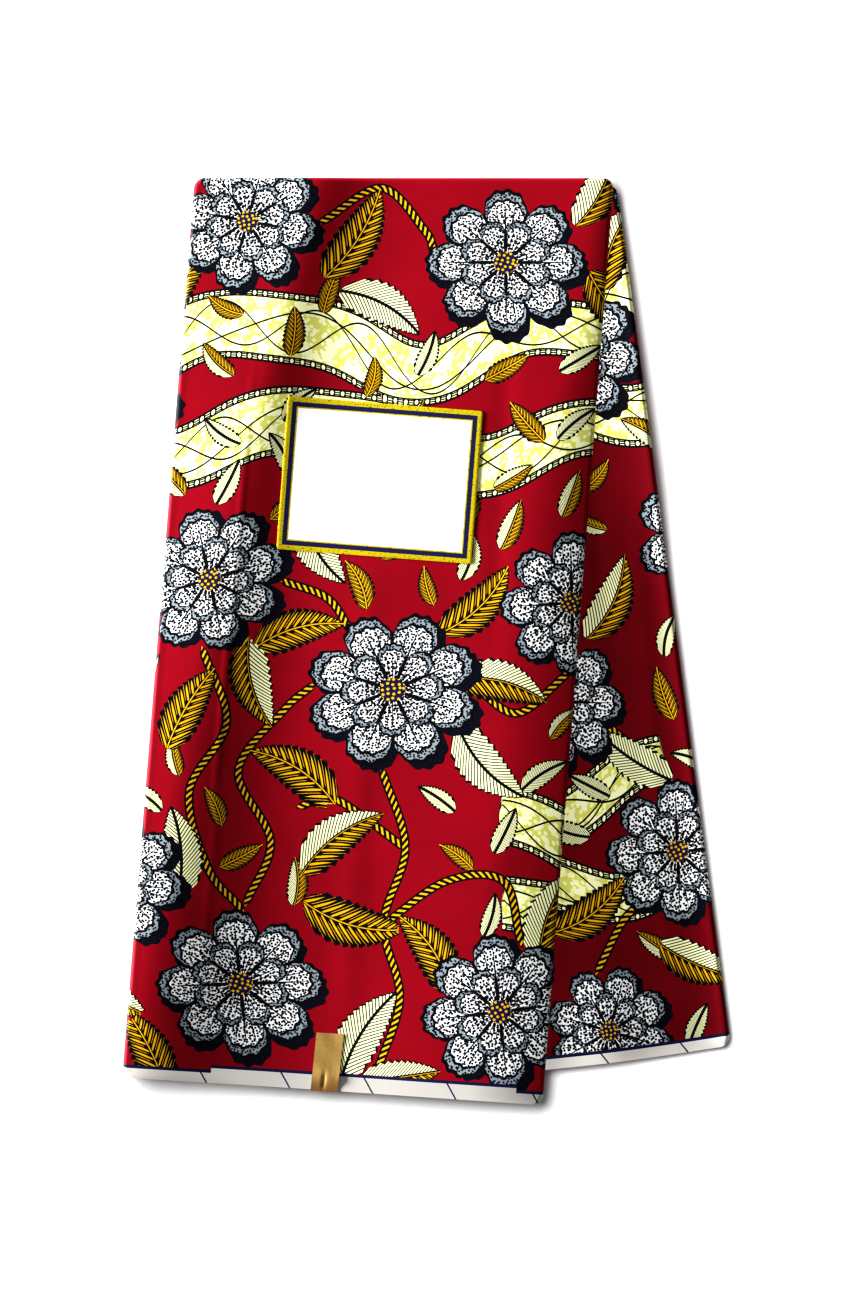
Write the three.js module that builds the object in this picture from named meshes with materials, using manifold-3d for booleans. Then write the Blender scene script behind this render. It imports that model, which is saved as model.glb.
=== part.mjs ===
import * as THREE from "three";
import { mergeVertices } from "three/addons/utils/BufferGeometryUtils.js";
import Module from "manifold-3d";

// One length of wax print cotton, folded in half across its width and then zig-zag into panels.
// The stack is fanned about its top right corner into a front and a rear group, flat on a table.
// Millimetres, +Z up, +Y from the selvedges towards the folded end.

// The cloth and how it is folded
const clothLength = 5490;
const panelWidth = 268;
const panelPitch = 1.0; // two plies and the air between them
const wall = 1.2; // the top panel of a group
const seam = 0.3; // between pieces that touch
const rollRadius = 2.6; // of the top panel over the folds beneath it
const cornerRadius = 7;

const panelsInGroup = Math.floor(clothLength / panelWidth) / 2;
const groupThickness = panelsInGroup * panelPitch;
const hiddenFolds = panelsInGroup / 2 - 1; // each joins two of the hidden panels

// Each group's outline: its right side runs from topRight down to the hem, leaning by lean degrees.
// Slopes are degrees by which the hem and the top fall to the right.
const frontSize = {
  topRight: [119.55, 296.25],
  length: 594.7,
  lean: 4.4,
  hemWidth: 269,
  hemSlope: 3.95,
  hemBow: 0,
  topWidth: panelWidth,
  topSlope: 0,
};
const rearSize = {
  topRight: [121.65, 293.05],
  length: 557,
  lean: -7.55,
  hemWidth: 259,
  hemSlope: -4.9,
  hemBow: 5.4,
  topWidth: 260,
  topSlope: -6.65,
};

// The front group lies on the rear one and drapes from it to the table, this far outside its outline
const restGap = 0.6;
const drapeStart = 16;
const drapeEnd = 55;
const settleStart = -35; // the top surface settles over a wider stretch than the underside
const settleEnd = 95;
const settleShare = 0.03; // and by far less, because the folds beneath are springy

// The long soft ridge beside the front group's left fold, which swings inwards towards the top
const ridgeHeight = { hem: 10, top: 3.2 };
const ridgeWidth = { hem: 62, top: 28 }; // on its right
const ridgeLeft = { middle: 3, top: 9 }; // times as wide on its left
const ridgeInset = 2;
const ridgeSwing = 72;

// How the front's top surface falls towards its edges
const leftFall = 0.1;
const endFall = 0.4;
const fallReach = 13;
const rightFall = { hem: 2.9, top: 0.8 };
const rightWidth = { hem: 48, top: 14 };

// The rear slopes down from beside the front group, and curls up at its right fold
const rearSlope = 0.05;
const curl = { slope: 0.42, hemReach: 9, topReach: 25, changeStart: 290, changeEnd: 390 };

// A low bump in the rear panel by its hem
const bump = { across: 188, reach: 20, along: 70, height: 1.6 };

// How far each hidden fold lies back from the outline, from the top of the stack down
const foldInset = { front: [0.5, 1.5, 0.2, 1.1], rear: [0.9, 0.2, 1.3, 0.6] };
const foldDip = 1.0; // between two folds

// The paper label and the foil seal
const label = { centre: [-30.2, 103], width: 125, height: 98, turn: -4.4, corner: 1.5 };
const seal = { fromLeft: 128.5, width: 17.2, length: 37.3, tail: 4, turn: -5.9 };
const sheetThickness = 0.5;

// How finely the surfaces are divided, closer together towards the edges
const across = 14;
const along = 20;
const crowding = 0.72;

const radians = THREE.MathUtils.degToRad;
const { lerp, smoothstep: ease } = THREE.MathUtils;

function station(k, count) {
  const t = k / count;
  return t - (crowding * Math.sin(2 * Math.PI * t)) / (2 * Math.PI);
}

// A step from a corner along a direction given in degrees below the horizontal, to the left
function stepLeft(from, distance, slope) {
  return new THREE.Vector2(
    from.x - distance * Math.cos(radians(slope)),
    from.y + distance * Math.sin(radians(slope)),
  );
}

function groupOutline(size) {
  const topRight = new THREE.Vector2(...size.topRight);
  const hemRight = new THREE.Vector2(
    topRight.x - size.length * Math.sin(radians(size.lean)),
    topRight.y - size.length * Math.cos(radians(size.lean)),
  );
  const hemLeft = stepLeft(hemRight, size.hemWidth, size.hemSlope);
  const topLeft = stepLeft(topRight, size.topWidth, size.topSlope);
  return { ...size, hemLeft, hemRight, topRight, topLeft };
}

const front = groupOutline(frontSize);
const rear = groupOutline(rearSize);

// Rounds the corners of the flat rectangle, by turning each corner's square into a quarter disc
function roundCorners(s, t, width, length, radius) {
  const a = Math.max(radius - s, 0) - Math.max(radius - (width - s), 0);
  const b = Math.max(radius - t, 0) - Math.max(radius - (length - t), 0);
  const half = 2 * radius * radius;
  return {
    s: s + a - a * Math.sqrt(1 - (b * b) / half),
    t: t + b - b * Math.sqrt(1 - (a * a) / half),
  };
}

// The place of shares u across and v along a group, with its outline drawn in by inset
function placeIn(group, u, v, inset) {
  const width = panelWidth;
  const length = group.length;
  const flat = {
    s: inset + u * (width - 2 * inset),
    t: inset + v * (length - 2 * inset),
  };
  const radius = Math.max(cornerRadius - inset, 0.5);
  const inner = roundCorners(
    flat.s - inset,
    flat.t - inset,
    width - 2 * inset,
    length - 2 * inset,
    radius,
  );
  const s = inner.s + inset;
  const t = inner.t + inset;
  const hem = group.hemLeft.clone().lerp(group.hemRight, s / width);
  const top = group.topLeft.clone().lerp(group.topRight, s / width);
  const place = hem.lerp(top, t / length);
  const share = s / width;
  place.y -= group.hemBow * 4 * share * (1 - share) * (1 - t / length) ** 2;
  return { s, t, x: place.x, y: place.y };
}

// How far a place lies outside a group's outline
function outside(group, { x, y }) {
  const corners = [group.hemLeft, group.hemRight, group.topRight, group.topLeft];
  const distances = corners.map((from, k) => {
    const side = corners[(k + 1) % 4].clone().sub(from);
    const away = (side.y * (x - from.x) - side.x * (y - from.y)) / side.length();
    return k === 0 ? away - group.hemBow : away;
  });
  return Math.max(...distances);
}

const rise = groupThickness + restGap;

function frontUnderside(place) {
  return rise * (1 - ease(outside(rear, place), drapeStart, drapeEnd));
}

function frontTop(place) {
  const share = place.t / front.length;
  const crest = ridgeInset + ridgeSwing * share ** 1.5;
  const spread = lerp(ridgeLeft.middle, ridgeLeft.top, ease(share, 0.6, 0.95));
  const ridgeReach =
    lerp(ridgeWidth.hem, ridgeWidth.top, ease(share, 0.1, 0.72)) *
    (place.s < crest ? spread : 1);
  const ridge =
    lerp(ridgeHeight.hem, ridgeHeight.top, ease(share, 0.1, 0.7)) *
    Math.exp(-(((place.s - crest) / ridgeReach) ** 2));
  const settled = settleShare * ease(outside(rear, place), settleStart, settleEnd);
  const towardsTop = ease(share, 0.5, 0.95);
  const rollWidth = lerp(rightWidth.hem, rightWidth.top, towardsTop);
  const pastRight = Math.max(0, 1 - (panelWidth - place.s) / rollWidth);
  return (
    groupThickness +
    rise * (1 - settled) +
    ridge -
    leftFall * Math.exp(-place.s / fallReach) -
    endFall * Math.exp(-(front.length - place.t) / fallReach) -
    lerp(rightFall.hem, rightFall.top, towardsTop) * pastRight ** 2
  );
}

function rearTop(place) {
  const fromFront = Math.max(0, outside(front, place));
  const fromFold = panelWidth - place.s;
  const reach = lerp(curl.hemReach, curl.topReach, ease(place.t, curl.changeStart, curl.changeEnd));
  const away = (place.s - bump.across) / bump.reach;
  return (
    groupThickness +
    bump.height * Math.exp(-(away ** 2) - (place.t / bump.along) ** 2) -
    rearSlope * fromFront +
    curl.slope * reach * (Math.exp(-fromFold / reach) - Math.exp(-(fromFold + fromFront) / reach))
  );
}

const frontGroup = { outline: front, top: frontTop, underside: frontUnderside };
const rearGroup = { outline: rear, top: rearTop, underside: () => 0 };

// The cells round the edge of the grid, anticlockwise from the hem's left end
const edgeCells = [];
for (let i = 0; i < across; i++) edgeCells.push([i, 0]);
for (let j = 0; j < along; j++) edgeCells.push([across, j]);
for (let i = across; i > 0; i--) edgeCells.push([i, along]);
for (let j = along; j > 0; j--) edgeCells.push([0, j]);

// A closed skin through levels, each a function from a grid cell to a point: the first is capped
// above and the last below, and the ones between run round the edge
function skinThrough(levels) {
  const positions = [];
  // Split along its shorter diagonal, so that facing skins are split alike
  const quad = (a, b, c, d) => {
    const order = a.distanceTo(c) < b.distanceTo(d) ? [a, b, c, a, c, d] : [a, b, d, b, c, d];
    for (const p of order) positions.push(p.x, p.y, p.z);
  };
  const last = levels[levels.length - 1];
  for (let i = 0; i < across; i++)
    for (let j = 0; j < along; j++) {
      quad(
        levels[0](i, j),
        levels[0](i + 1, j),
        levels[0](i + 1, j + 1),
        levels[0](i, j + 1),
      );
      quad(last(i, j), last(i, j + 1), last(i + 1, j + 1), last(i + 1, j));
    }
  for (let k = 1; k < levels.length; k++)
    edgeCells.forEach((cell, m) => {
      const next = edgeCells[(m + 1) % edgeCells.length];
      quad(
        levels[k](...cell),
        levels[k](...next),
        levels[k - 1](...next),
        levels[k - 1](...cell),
      );
    });
  const geometry = new THREE.BufferGeometry();
  geometry.setAttribute("position", new THREE.Float32BufferAttribute(positions, 3));
  return mergeVertices(geometry, 1e-4);
}

// The share of the rolled edge that a cell has: none at the hem, where the selvedge lies free
function rollAt(group, j) {
  return ease(station(j, along) * group.outline.length, 0, cornerRadius - 1);
}

// A point at a depth under a group's top surface, after a turn in degrees over the rolled edge
function rolledLevel(group, depth, turn) {
  return (i, j) => {
    const hold = rollAt(group, j);
    const reach = depth < 0 ? depth : Math.max(depth * hold, depth - wall);
    const inset = rollRadius - (rollRadius - reach) * Math.sin(radians(turn));
    const drop = depth + (rollRadius - depth) * (1 - Math.cos(radians(turn))) * hold;
    const u = station(i, across);
    const v = station(j, along);
    const crown = placeIn(group.outline, u, v, rollRadius);
    const place = placeIn(group.outline, u, v, inset);
    return new THREE.Vector3(place.x, place.y, group.top(crown) - drop);
  };
}

// A point at a share of the way down from the rolled edge's end to the underside
function sideLevel(group, inset, share) {
  const shoulder = rolledLevel(group, wall + seam, 90);
  return (i, j) => {
    const u = station(i, across);
    const v = station(j, along);
    const place = placeIn(group.outline, u, v, inset);
    const foot = placeIn(group.outline, u, v, foldDip);
    const from = shoulder(i, j).z - seam * rollAt(group, j);
    const z = lerp(from, group.underside(foot), share);
    return new THREE.Vector3(place.x, place.y, z);
  };
}

// The top panel: a wall that rolls over the folds at its sides and top, and ends free at the hem
function panelSkin(group) {
  const outer = [0, 45, 90].map((turn) => rolledLevel(group, 0, turn));
  const inner = [90, 45, 0].map((turn) => rolledLevel(group, wall, turn));
  return skinThrough([...outer, ...inner]);
}

// The hidden panels as one solid, its sides stepped by the folds that show there
function layersSkin(group, insets) {
  const levels = [0, 45, 90].map((turn) => rolledLevel(group, wall + seam, turn));
  for (let k = 0; k < hiddenFolds; k++) {
    const inset = insets[k];
    levels.push(sideLevel(group, foldDip + inset, k / hiddenFolds));
    levels.push(sideLevel(group, inset, (k + 0.3) / hiddenFolds));
    levels.push(sideLevel(group, inset, (k + 0.7) / hiddenFolds));
  }
  const foot = (i, j) => {
    const place = placeIn(group.outline, station(i, across), station(j, along), foldDip);
    return new THREE.Vector3(place.x, place.y, group.underside(place));
  };
  return skinThrough([...levels, foot]);
}

const manifold = await Module();
manifold.setup();

function solidOf(geometry) {
  const bare = new THREE.BufferGeometry();
  bare.setAttribute("position", geometry.getAttribute("position"));
  bare.setIndex(geometry.getIndex());
  const merged = mergeVertices(bare, 1e-4);
  return new manifold.Manifold(
    new manifold.Mesh({
      numProp: 3,
      vertProperties: merged.getAttribute("position").array,
      triVerts: new Uint32Array(merged.getIndex().array),
    }),
  );
}

function geometryOf(solid) {
  const mesh = solid.getMesh();
  const geometry = new THREE.BufferGeometry();
  geometry.setAttribute("position", new THREE.BufferAttribute(mesh.vertProperties, 3));
  geometry.setIndex(new THREE.BufferAttribute(mesh.triVerts, 1));
  return geometry;
}

// The label: the front panel's own top points moved out, cut to the label's outline
function labelGeometry() {
  const { width, height, corner } = label;
  const shape = new THREE.Shape();
  shape.moveTo(corner - width / 2, -height / 2);
  shape.absarc(width / 2 - corner, corner - height / 2, corner, -Math.PI / 2, 0);
  shape.absarc(width / 2 - corner, height / 2 - corner, corner, 0, Math.PI / 2);
  shape.absarc(corner - width / 2, height / 2 - corner, corner, Math.PI / 2, Math.PI);
  shape.absarc(corner - width / 2, corner - height / 2, corner, Math.PI, 1.5 * Math.PI);
  const block = new THREE.ExtrudeGeometry(shape, {
    depth: 4 * groupThickness,
    bevelEnabled: false,
    curveSegments: 3,
  });
  block.rotateZ(radians(label.turn));
  block.translate(...label.centre, 0);
  const sheet = skinThrough([
    rolledLevel(frontGroup, -seam - sheetThickness, 0),
    rolledLevel(frontGroup, -seam, 0),
  ]);
  return geometryOf(solidOf(sheet).intersect(solidOf(block)));
}

// The whole front group as one skin, moved out by offset
function groupSkin(offset) {
  const levels = [0, 45, 90].map((turn) => rolledLevel(frontGroup, -offset, turn));
  levels.push((i, j) => {
    const place = placeIn(front, station(i, across), station(j, along), -offset);
    return new THREE.Vector3(place.x, place.y, frontUnderside(place) - offset);
  });
  return solidOf(skinThrough(levels));
}

// The foil seal: a strip of the skin round the front group's hem, long above and short below
function sealGeometry() {
  const margin = 3;
  const middle = rise + groupThickness / 3;
  const high = 4 * groupThickness;
  const profile = new THREE.Shape([
    new THREE.Vector2(-margin, 0),
    new THREE.Vector2(seal.tail, 0),
    new THREE.Vector2(seal.tail, middle),
    new THREE.Vector2(seal.length, middle),
    new THREE.Vector2(seal.length, high),
    new THREE.Vector2(-margin, high),
  ]);
  const block = new THREE.ExtrudeGeometry(profile, {
    depth: seal.width,
    bevelEnabled: false,
  });
  block.translate(0, 0, -seal.width / 2);
  block.rotateX(Math.PI / 2);
  block.rotateZ(Math.PI / 2 + radians(seal.turn));
  const hem = placeIn(front, seal.fromLeft / panelWidth, 0, 0);
  block.translate(hem.x, hem.y, 0);
  const strip = groupSkin(seam + sheetThickness).subtract(groupSkin(seam));
  return geometryOf(strip.intersect(solidOf(block)));
}

const cloth = new THREE.Group();

function addPiece(name, geometry, finish) {
  geometry.computeVertexNormals();
  const mesh = new THREE.Mesh(geometry, new THREE.MeshStandardMaterial(finish));
  mesh.name = name;
  cloth.add(mesh);
}

const redPrint = { color: 0xa2101e, roughness: 0.62, metalness: 0 };
const foldedPrint = { color: 0x8a1a20, roughness: 0.7, metalness: 0 };
const whitePaper = { color: 0xf4f3f1, roughness: 0.45, metalness: 0 };
const goldFoil = { color: 0xc6a25a, roughness: 0.35, metalness: 0.85 };

addPiece("rear_layers", layersSkin(rearGroup, foldInset.rear), foldedPrint);
addPiece("rear_panel", panelSkin(rearGroup), redPrint);
addPiece("front_layers", layersSkin(frontGroup, foldInset.front), foldedPrint);
addPiece("front_panel", panelSkin(frontGroup), redPrint);
addPiece("paper_label", labelGeometry(), whitePaper);
addPiece("foil_seal", sealGeometry(), goldFoil);

export default cloth;
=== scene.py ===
import math

import bmesh
import bpy
import numpy as np
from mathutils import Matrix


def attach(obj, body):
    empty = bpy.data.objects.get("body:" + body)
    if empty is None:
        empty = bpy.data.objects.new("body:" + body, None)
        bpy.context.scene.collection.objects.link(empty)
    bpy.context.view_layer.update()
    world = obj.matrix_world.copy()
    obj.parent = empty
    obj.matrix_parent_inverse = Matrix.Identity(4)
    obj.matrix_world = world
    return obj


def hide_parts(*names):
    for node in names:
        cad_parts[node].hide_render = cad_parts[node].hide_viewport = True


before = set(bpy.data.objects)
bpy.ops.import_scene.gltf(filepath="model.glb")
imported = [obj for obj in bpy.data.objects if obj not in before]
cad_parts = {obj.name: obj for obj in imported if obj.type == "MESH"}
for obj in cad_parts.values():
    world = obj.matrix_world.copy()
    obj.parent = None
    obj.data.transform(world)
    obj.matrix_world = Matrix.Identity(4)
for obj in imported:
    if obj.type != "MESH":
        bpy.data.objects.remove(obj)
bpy.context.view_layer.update()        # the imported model, which stays as it is

# A folded length of wax print cotton. Forms are worked out in millimetres, +Y towards the folded end.
mm = 0.001
print("frame loaded")

cloth = {
    "panelWidth": 268.0,
    "groupThickness": 10.0,  # ten panels of two plies
    "roll": 2.6,             # radius of the top panel over the folds beneath it
    "corner": 7.0,
    "restGap": 0.6,          # between the two groups
    "leastCorner": 0.5,      # however far an outline is drawn in
}
frontSize = {
    "topRight": (119.55, 296.25),
    "length": 594.7,
    "lean": 4.4,             # degrees, the hem swings to the left
    "hemWidth": 269.0,
    "hemSlope": 3.95,
    "hemBow": 0.0,
    "topWidth": 268.0,
    "topSlope": 0.0,
}
rearSize = {
    "topRight": (121.65, 293.05),
    "length": 557.0,
    "lean": -7.55,
    "hemWidth": 259.0,
    "hemSlope": -4.9,
    "hemBow": 5.4,
    "topWidth": 260.0,
    "topSlope": -6.65,
}
frontForm = {
    "drape": (16.0, 55.0),    # outside the rear group's outline, the underside falls to the table
    "settle": (-35.0, 95.0),  # the top surface settles over a wider stretch
    "settleShare": 0.03,
    "ridgeHeight": (10.0, 3.2),  # the long soft ridge beside the left fold, at the hem and at the top
    "ridgeLower": (0.1, 0.7),    # where it gets lower
    "ridgeWidth": (62.0, 28.0),  # on its right
    "ridgeNarrow": (0.1, 0.72),
    "ridgeLeft": (3.0, 9.0),     # times as wide on its left, and at the top
    "ridgeLeftGrow": (0.6, 0.95),
    "ridgeInset": 2.0,
    "ridgeSwing": (72.0, 1.5),   # how far it swings inwards towards the top, and how late
    "leftFall": 0.1,
    "endFall": 0.4,
    "fallReach": 13.0,
    "rightFall": (2.9, 0.8),     # at the hem and at the top
    "rightWidth": (48.0, 14.0),
    "rightChange": (0.5, 0.95),
    "waveSeed": 0.7,
}
rearForm = {
    "slope": 0.05,            # down from beside the front group
    "curlSlope": 0.42,        # the fold at its right stands up, from beside the front group
    "curlReach": (9.0, 25.0),  # by the hem and at the top
    "curlChange": (290.0, 390.0),
    "bump": (188.0, 20.0, 70.0, 1.6),  # across, reach, along and height of the bump by the hem
    "shown": (-2.0, 12.0),    # how far from the front group the creases and waves begin
    "waveShare": 0.6,
    "waveSeed": 2.1,
}


def ease(value, low, high):
    share = np.clip((value - low) / (high - low), 0, 1)
    return share * share * (3 - 2 * share)


def between(a, b, share):
    return a + (b - a) * share


def stepLeft(start, distance, slope):
    turn = math.radians(slope)
    return np.array((start[0] - distance * math.cos(turn), start[1] + distance * math.sin(turn)))


def groupOutline(size):
    lean = math.radians(size["lean"])
    topRight = np.array(size["topRight"])
    hemRight = topRight - size["length"] * np.array((math.sin(lean), math.cos(lean)))
    corners = {
        "topRight": topRight,
        "hemRight": hemRight,
        "hemLeft": stepLeft(hemRight, size["hemWidth"], size["hemSlope"]),
        "topLeft": stepLeft(topRight, size["topWidth"], size["topSlope"]),
    }
    return {**size, **corners}


front = groupOutline(frontSize)
rear = groupOutline(rearSize)


def roundCorners(s, t, width, length, radius):
    # turns each corner's square into a quarter disc
    a = np.maximum(radius - s, 0) - np.maximum(radius - (width - s), 0)
    b = np.maximum(radius - t, 0) - np.maximum(radius - (length - t), 0)
    half = 2 * radius * radius
    return s + a - a * np.sqrt(1 - b * b / half), t + b - b * np.sqrt(1 - a * a / half)


def placeIn(group, u, v, inset):
    # where shares u across and v along a group lie, its outline drawn in by inset
    width, length = cloth["panelWidth"], group["length"]
    flatS = u * (width - 2 * inset)
    flatT = v * (length - 2 * inset)
    radius = np.maximum(cloth["corner"] - inset, cloth["leastCorner"])
    s, t = roundCorners(flatS, flatT, width - 2 * inset, length - 2 * inset, radius)
    s, t = s + inset, t + inset
    across, along = (s / width)[..., None], (t / length)[..., None]
    hem = between(group["hemLeft"], group["hemRight"], across)
    top = between(group["topLeft"], group["topRight"], across)
    spot = between(hem, top, along)
    bow = group["hemBow"] * 4 * across * (1 - across) * (1 - along) ** 2
    return s, t, spot[..., 0], spot[..., 1] - bow[..., 0]


def outside(group, x, y):
    # how far a place lies outside a group's outline
    corners = [group[name] for name in ("hemLeft", "hemRight", "topRight", "topLeft")]
    away = []
    for k, start in enumerate(corners):
        side = corners[(k + 1) % 4] - start
        distance = (side[1] * (x - start[0]) - side[0] * (y - start[1])) / math.hypot(*side)
        away.append(distance - group["hemBow"] if k == 0 else distance)
    return np.maximum.reduce(away)


rise = cloth["groupThickness"] + cloth["restGap"]


def frontUnderside(s, t, x, y):
    return rise * (1 - ease(outside(rear, x, y), *frontForm["drape"]))


def rearUnderside(s, t, x, y):
    return np.zeros_like(s)


# Creases pressed or worn into the cloth: across and up from, across and up to, width, height in mm
frontCreases = [
    (47, 455, 44, 190, 1.6, 0.3),     # the pressed line beside the ridge
    (47, 190, 44, 60, 2.4, 0.12),
    (133, 330, 138, 40, 9.0, 0.22),    # soft, down the middle
    (206, 560, 214, 300, 7.0, -0.2),
    (96, 300, 170, 255, 12.0, 0.2),
    (150, 170, 236, 150, 14.0, 0.25),
    (18, 140, 60, 96, 10.0, -0.2),
    (176, 520, 250, 545, 11.0, 0.2),
]
rearCreases = [
    (150, 30, 176, 260, 10.0, 0.5),
    (212, 520, 226, 250, 8.0, -0.3),
    (180, 120, 256, 90, 12.0, 0.35),
    (236, 60, 250, 330, 6.0, 0.25),
]


# shares of a crease's length over which it begins and ends
creaseEnds = ((-0.12, 0.15), (0.85, 1.12))

# Slight unevenness of handled cloth: height of each wave, and its reach across and along
handledSwell = (0.22, 29, 71)
handledRipples = ((0.09, 15, -96, 3), (0.07, 60, 23, 1))    # and how much the seed shifts it


def creaseHeight(s, t, creases):
    height = np.zeros_like(s)
    for fromS, fromT, toS, toT, width, depth in creases:
        run = np.array((toS - fromS, toT - fromT), float)
        length = math.hypot(*run)
        share = ((s - fromS) * run[0] + (t - fromT) * run[1]) / length**2
        away = ((s - fromS) * run[1] - (t - fromT) * run[0]) / length
        fade = ease(share, *creaseEnds[0]) * (1 - ease(share, *creaseEnds[1]))
        height += depth * fade * np.exp(-((away / width) ** 2))
    return height


def softWaves(s, t, seed):
    height, across, along = handledSwell
    waves = height * np.sin(s / across + seed) * np.sin(t / along + 2 * seed)
    for height, across, along, shift in handledRipples:
        waves += height * np.sin(s / across + t / along + shift * seed)
    return waves


def frontTop(s, t, x, y):
    form = frontForm
    share = t / front["length"]
    swing, late = form["ridgeSwing"]
    crest = form["ridgeInset"] + swing * share**late
    settled = rise * (1 - form["settleShare"] * ease(outside(rear, x, y), *form["settle"]))
    width = between(*form["ridgeWidth"], ease(share, *form["ridgeNarrow"]))
    width = width * np.where(s < crest, between(*form["ridgeLeft"], ease(share, *form["ridgeLeftGrow"])), 1)
    ridge = np.exp(-(((s - crest) / width) ** 2))
    ridge *= between(*form["ridgeHeight"], ease(share, *form["ridgeLower"]))
    towardsTop = ease(share, *form["rightChange"])
    pastRight = np.maximum(0, 1 - (cloth["panelWidth"] - s) / between(*form["rightWidth"], towardsTop))
    falls = form["leftFall"] * np.exp(-s / form["fallReach"])
    falls += form["endFall"] * np.exp(-(front["length"] - t) / form["fallReach"])
    falls += between(*form["rightFall"], towardsTop) * pastRight**2
    fine = creaseHeight(s, t, frontCreases) + softWaves(s, t, form["waveSeed"])
    return cloth["groupThickness"] + settled + ridge - falls + fine


def rearTop(s, t, x, y):
    form = rearForm
    fromFront = outside(front, x, y)
    across, reach, along, height = form["bump"]
    bump = height * np.exp(-(((s - across) / reach) ** 2) - (t / along) ** 2)
    reach = between(*form["curlReach"], ease(t, *form["curlChange"]))
    inFromRight = cloth["panelWidth"] - s
    curl = np.exp(-inFromRight / reach) - np.exp(-(inFromRight + np.maximum(0, fromFront)) / reach)
    fall = form["slope"] * np.maximum(0, fromFront) - form["curlSlope"] * reach * curl
    fine = creaseHeight(s, t, rearCreases) + form["waveShare"] * softWaves(s, t, form["waveSeed"])
    fine *= ease(fromFront, *form["shown"])      # none where the front group lies on it
    return cloth["groupThickness"] + bump - fall + fine


front.update(top=frontTop, underside=frontUnderside, seed=1.0, shift=0.0, deeper=0.0)
# painted shade: the rear panel's dyes are darkened, and its selvedge lifted, to stand for the shade that
# falls on it
rear.update(top=rearTop, underside=rearUnderside, seed=5.0, shift=132.0, deeper=0.34)
print("forms set")


panelDetail = {
    "columns": 132,
    "rows": 196,
    "turns": 6,                                        # rings round the rolled edge
    "lips": ((0.45, 0.05), (0.8, 0.35), (0.9, 2.6)),   # then down and in, under the edge
    "hemLip": 0.4,                                     # how far down at the hem, as a share
}


def growRim(made, edge, level):
    # one more ring of faces round an edge, its new points marked by their height; gives its new edge
    grown = bmesh.ops.extrude_edge_only(made, edges=edge)["geom"]
    for item in grown:
        if isinstance(item, bmesh.types.BMVert):
            item.co.z = level
    return [e for e in grown if isinstance(e, bmesh.types.BMEdge) and e.is_boundary]


def gridWithRims(columns, rows, rims):
    # each vertex holds its shares across and along in x and y, and its rim's number in z
    made = bmesh.new()
    bmesh.ops.create_grid(made, x_segments=columns, y_segments=rows, size=0.5)
    bmesh.ops.translate(made, verts=made.verts, vec=(0.5, 0.5, 0))
    edge = [e for e in made.edges if e.is_boundary]
    for rim in range(1, rims + 1):
        edge = growRim(made, edge, rim)
    bmesh.ops.recalc_face_normals(made, faces=made.faces)
    return made


def meshFrom(made, name):
    mesh = bpy.data.meshes.new(name)
    made.to_mesh(mesh)
    made.free()
    held = np.zeros(len(mesh.vertices) * 3, np.float32)
    mesh.vertices.foreach_get("co", held)
    return mesh, held.reshape(-1, 3).astype(float)


def addPiece(name, mesh, points, material, slot, *nodes):
    # sets the points (mm) and puts the piece in the scene in place of its CAD nodes
    mesh.vertices.foreach_set("co", (points * mm).astype(np.float32).ravel())
    mesh.update()
    mesh.shade_smooth()
    mesh.materials.append(material)
    piece = bpy.data.objects.new(name, mesh)
    bpy.context.scene.collection.objects.link(piece)
    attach(piece, "root")
    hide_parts(*nodes)
    return piece


def cornerVertices(mesh):
    found = np.zeros(len(mesh.loops), np.int32)
    mesh.loops.foreach_get("vertex_index", found)
    return found


def setMap(mesh, spread):
    # the piece's own UV map
    layer = mesh.uv_layers.new(name="OFBake")
    layer.data.foreach_set("uv", spread.astype(np.float32).ravel())


def layMap(mesh, held, rims, rimShare=0.1):
    # the grid, with its rims round it
    grow = 1 - rimShare + rimShare * held[:, 2:] / (rims + 1)
    spread = 0.5 + (held[:, :2] - 0.5) * grow
    setMap(mesh, spread[cornerVertices(mesh)])


def rolledPlace(group, held, turns, lips):
    # the grid's points on the top of a group, its rims rolled over the folds and tucked under
    u, v, rim = held.T
    roll = cloth["roll"]
    turn = np.clip(rim / turns, 0, 1) * math.pi / 2
    steps = np.array(((0, 0),) + lips)
    down, inward = steps[np.clip(rim - turns, 0, len(lips)).astype(int)].T
    s, t, x, y = placeIn(group, u, v, roll)
    hold = ease(t, roll, cloth["corner"] - 1)      # the selvedges at the hem aren't rolled
    height = group["top"](s, t, x, y)
    edgeS, edgeT, edgeX, edgeY = placeIn(group, u, v, roll * (1 - np.sin(turn)) + inward)
    drop = roll * (1 - np.cos(turn)) * hold + down * between(panelDetail["hemLip"], 1, hold)
    over = roll * (turn - np.sin(turn)) * hold + down
    length = np.hypot(edgeS - s, edgeT - t) + 1e-6      # never nought
    flatS = edgeS + (edgeS - s) / length * over
    flatT = edgeT + (edgeT - t) / length * over
    return np.stack((edgeX, edgeY, height - drop), axis=-1), flatS, flatT


def makePanel(group, name, node, material):
    detail = panelDetail
    rims = detail["turns"] + len(detail["lips"])
    mesh, held = meshFrom(gridWithRims(detail["columns"], detail["rows"], rims), name)
    points, s, t = rolledPlace(group, held, detail["turns"], detail["lips"])
    layMap(mesh, held, rims)
    layPrint(mesh, s, t, group["shift"], group["deeper"])
    return addPiece(name, mesh, points, material, "printed_cotton", node)


# The printed design, in millimetres along the length of cloth and up from its selvedge
repeat = 400.0
palette = {
    "red": (0.27, 0.005, 0.021),
    "black": (0.009, 0.009, 0.012),
    "navy": (0.022, 0.024, 0.085),
    "gold": (0.7, 0.43, 0.008),
    "cream": (0.62, 0.62, 0.19),
    "paleCream": (0.8, 0.81, 0.52),
    "white": (0.79, 0.8, 0.81),
    "cool": (0.29, 0.33, 0.36),
    "selvedge": (0.56, 0.54, 0.51),
}

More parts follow.
